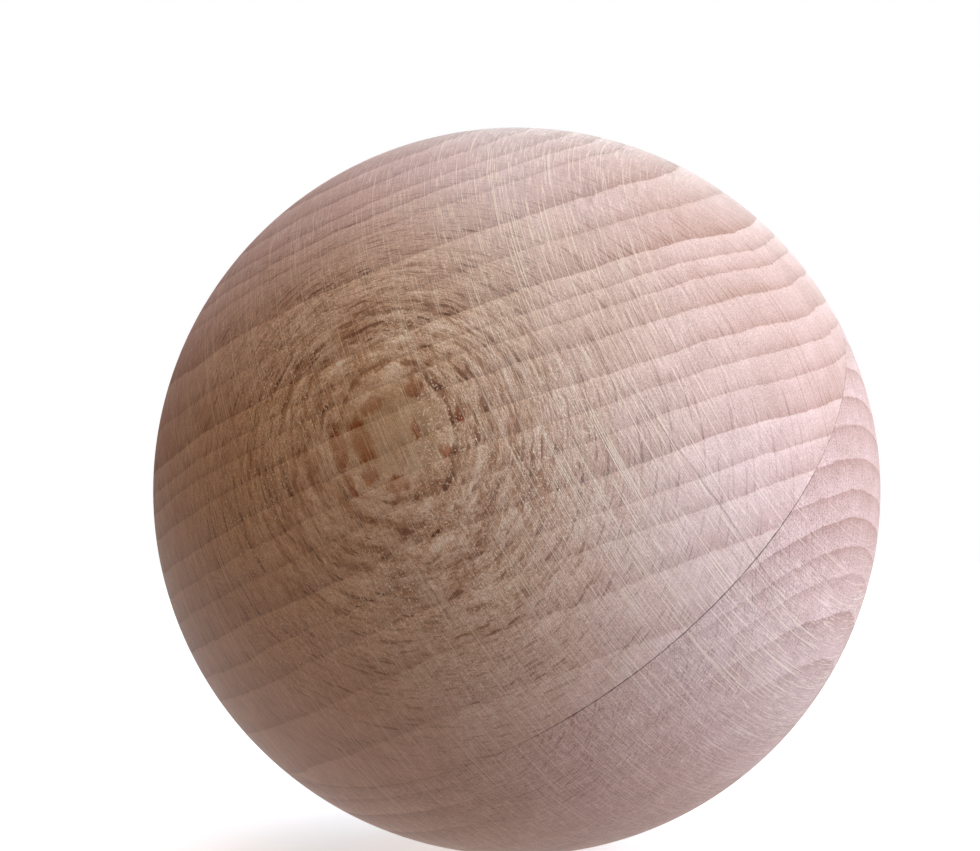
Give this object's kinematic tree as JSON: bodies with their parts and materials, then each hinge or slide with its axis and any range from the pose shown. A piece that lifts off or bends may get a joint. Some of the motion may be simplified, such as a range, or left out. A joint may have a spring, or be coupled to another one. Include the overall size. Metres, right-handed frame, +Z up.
{
  "type": "wooden ball",
  "caption": "Plain solid wooden ball, turned from a blank glued up from blocks of beech, with a flush glue joint.",
  "frame": {"origin": "centre of the ball", "axes": "+Z up and -Y to the front; the normal of the glue joint slants to the back, to the right and down"},
  "size_m": [0.1, 0.1, 0.1],
  "materials": {
    "front_beech": "bare beech, turned and sanded, near the radial face: growth rings, ray flecks and sanding scratches",
    "back_beech": "bare beech, turned and sanded, near the tangential face: arched growth rings and short ray dashes"
  },
  "bodies": {
    "root": {"front_block": "front_beech", "back_block": "back_beech"}
  },
  "joints": []
}
